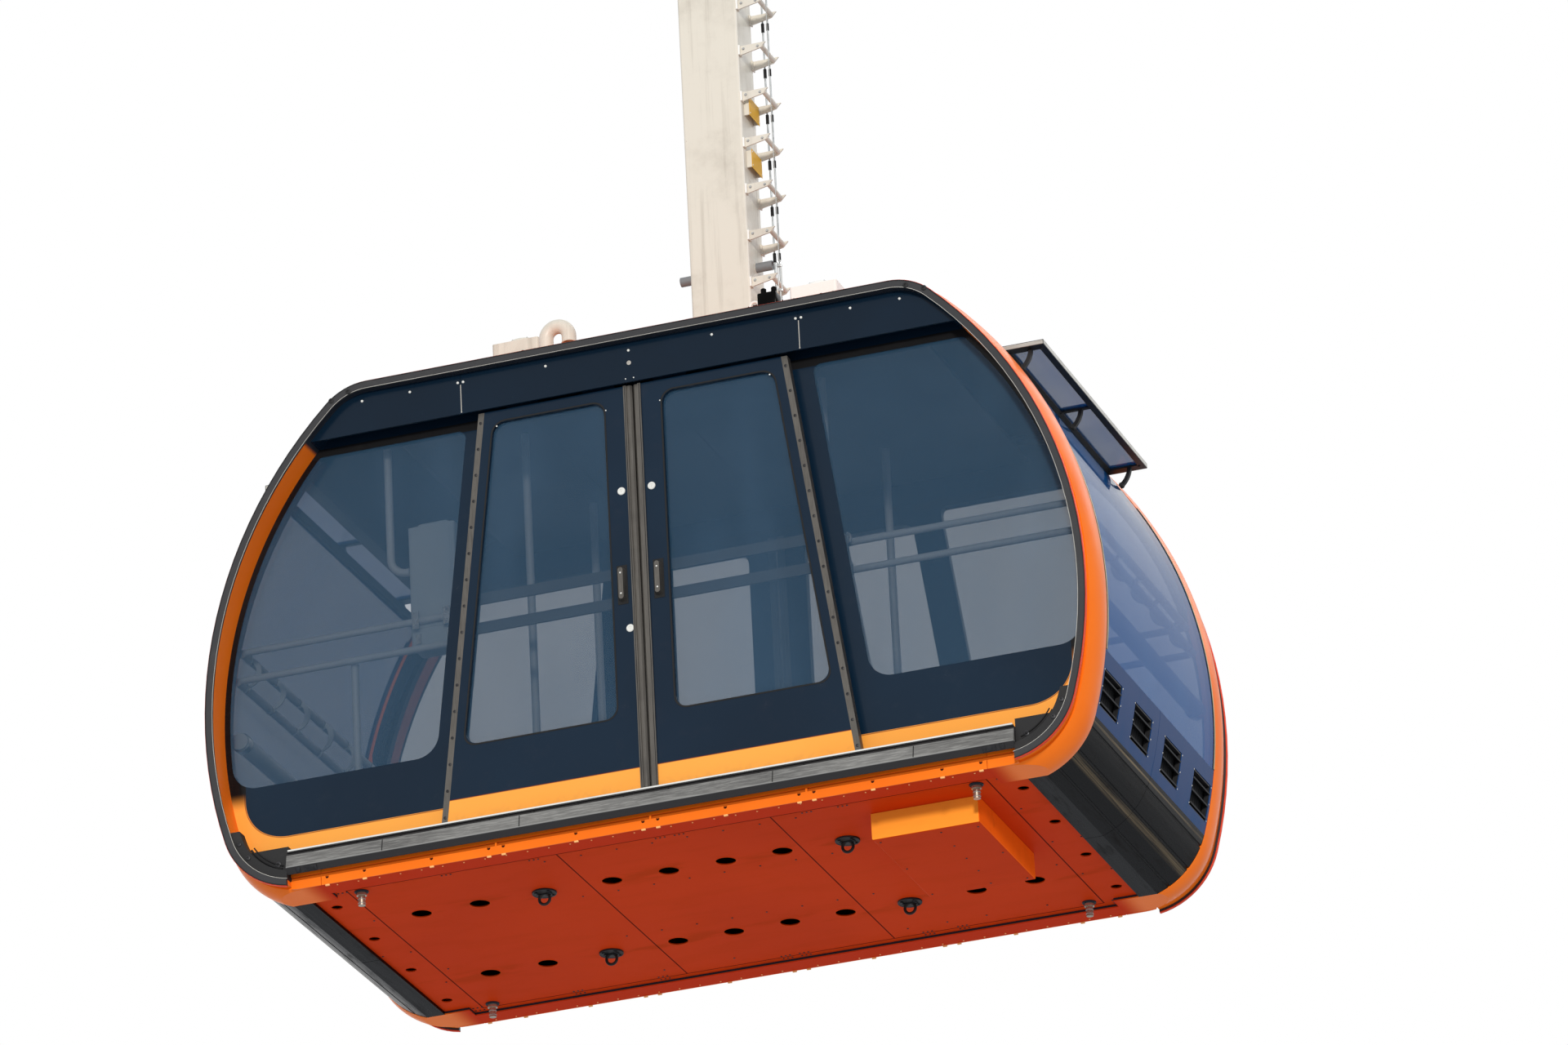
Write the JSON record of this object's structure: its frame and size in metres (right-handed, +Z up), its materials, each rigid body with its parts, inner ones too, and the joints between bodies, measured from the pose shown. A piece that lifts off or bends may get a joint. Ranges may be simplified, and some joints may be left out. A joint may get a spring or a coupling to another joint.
{
  "type": "cable car cabin",
  "caption": "Aerial cable car cabin with bowed glazed ends, sliding double doors, a crooked hanger arm and a roller carriage that rides a track rope.",
  "frame": {"origin": "on the axis of the track rope, below the middle of the carriage", "axes": "+X along the travel, +Y across it to the arm's side, +Z up"},
  "size_m": [4.3916, 2.208, 7.98],
  "materials": {
    "orange_paint": "gloss",
    "dark_band": "satin",
    "navy_paint": "gloss",
    "tinted_glass": "clear, tinted",
    "black_frame": "satin",
    "gloss_black": "gloss",
    "black_plastic": "matte",
    "dark_metal": "brushed",
    "cream_paint": "satin",
    "brushed_trim": "brushed",
    "bright_steel": "turned",
    "galvanised_steel": "galvanised",
    "roller_steel": "worn",
    "floor_rubber": "studded",
    "ceiling_panel": "matte",
    "rail_grey": "satin",
    "box_grey": "satin"
  },
  "bodies": {
    "carriage": {"main_beam": "galvanised_steel", "four_roller_rockers": "galvanised_steel", "two_roller_rockers": "galvanised_steel", "rocker_pins": "bright_steel", "haul_rope_clamps": "galvanised_steel"},
    "hanger_and_cabin": {"hanger_arm": "cream_paint", "roof_yoke": "cream_paint", "arm_ladder": "cream_paint", "suspension_pin": "bright_steel", "corner_caps": "black_plastic", "roof": "orange_paint", "hatch_frames": "black_frame", "hatch_sashes": "black_frame", "end_glazing": "tinted_glass", "end_panels": "navy_paint", "vent_louvres": "black_frame", "end_covers": "gloss_black", "floor_tray": "orange_paint", "floor_deck": "floor_rubber", "underfloor_box": "orange_paint", "floor_fittings": "bright_steel", "roof_fittings": "cream_paint", "ceiling": "ceiling_panel", "side_handrails": "rail_grey", "end_handrails": "rail_grey", "grab_poles": "rail_grey", "control_box": "box_grey", "ring_band_right": "dark_band", "ring_frame_right": "orange_paint", "header_right": "navy_paint", "sill_right": "dark_metal", "side_walls_right": "navy_paint", "side_glass_right": "tinted_glass", "ring_band_left": "dark_band", "ring_frame_left": "orange_paint", "header_left": "navy_paint", "sill_left": "dark_metal", "side_walls_left": "navy_paint", "side_glass_left": "tinted_glass"},
    "door_right_front": {"door_leaf_right_front": "navy_paint", "door_glass_right_front": "tinted_glass", "door_trim_right_front": "brushed_trim"},
    "door_right_rear": {"door_leaf_right_rear": "navy_paint", "door_glass_right_rear": "tinted_glass", "door_trim_right_rear": "brushed_trim"},
    "door_left_front": {"door_leaf_left_front": "navy_paint", "door_glass_left_front": "tinted_glass", "door_trim_left_front": "brushed_trim"},
    "door_left_rear": {"door_leaf_left_rear": "navy_paint", "door_glass_left_rear": "tinted_glass", "door_trim_left_rear": "brushed_trim"},
    "roller_1": {"roller_1": "roller_steel"},
    "roller_2": {"roller_2": "roller_steel"},
    "roller_3": {"roller_3": "roller_steel"},
    "roller_4": {"roller_4": "roller_steel"},
    "roller_5": {"roller_5": "roller_steel"},
    "roller_6": {"roller_6": "roller_steel"},
    "roller_7": {"roller_7": "roller_steel"},
    "roller_8": {"roller_8": "roller_steel"}
  },
  "joints": [
    {"name": "hanger_swing", "type": "hinge", "parent": "carriage", "child": "hanger_and_cabin", "pos_m": [0, 0, 0.6], "axis": [0, 1, 0], "range_deg": [-35, 35]},
    {"name": "door_slide_right_front", "type": "slide", "parent": "hanger_and_cabin", "child": "door_right_front", "axis": [1, 0, 0], "range_m": [0, 0.76]},
    {"name": "door_slide_right_rear", "type": "slide", "parent": "hanger_and_cabin", "child": "door_right_rear", "axis": [-1, 0, 0], "range_m": [0, 0.76]},
    {"name": "door_slide_left_front", "type": "slide", "parent": "hanger_and_cabin", "child": "door_left_front", "axis": [1, 0, 0], "range_m": [0, 0.76]},
    {"name": "door_slide_left_rear", "type": "slide", "parent": "hanger_and_cabin", "child": "door_left_rear", "axis": [-1, 0, 0], "range_m": [0, 0.76]},
    {"name": "roller_spin_1", "type": "hinge", "parent": "carriage", "child": "roller_1", "pos_m": [-1.575, 0, 0.18], "axis": [0, 1, 0], "continuous": true},
    {"name": "roller_spin_2", "type": "hinge", "parent": "carriage", "child": "roller_2", "pos_m": [-1.125, 0, 0.18], "axis": [0, 1, 0], "continuous": true},
    {"name": "roller_spin_3", "type": "hinge", "parent": "carriage", "child": "roller_3", "pos_m": [-0.675, 0, 0.18], "axis": [0, 1, 0], "continuous": true},
    {"name": "roller_spin_4", "type": "hinge", "parent": "carriage", "child": "roller_4", "pos_m": [-0.225, 0, 0.18], "axis": [0, 1, 0], "continuous": true},
    {"name": "roller_spin_5", "type": "hinge", "parent": "carriage", "child": "roller_5", "pos_m": [0.225, 0, 0.18], "axis": [0, 1, 0], "continuous": true},
    {"name": "roller_spin_6", "type": "hinge", "parent": "carriage", "child": "roller_6", "pos_m": [0.675, 0, 0.18], "axis": [0, 1, 0], "continuous": true},
    {"name": "roller_spin_7", "type": "hinge", "parent": "carriage", "child": "roller_7", "pos_m": [1.125, 0, 0.18], "axis": [0, 1, 0], "continuous": true},
    {"name": "roller_spin_8", "type": "hinge", "parent": "carriage", "child": "roller_8", "pos_m": [1.575, 0, 0.18], "axis": [0, 1, 0], "continuous": true}
  ],
  "couplings": [
    {"joint": "door_slide_right_rear", "follows": "door_slide_right_front", "ratio": 1},
    {"joint": "door_slide_left_rear", "follows": "door_slide_left_front", "ratio": 1}
  ]
}
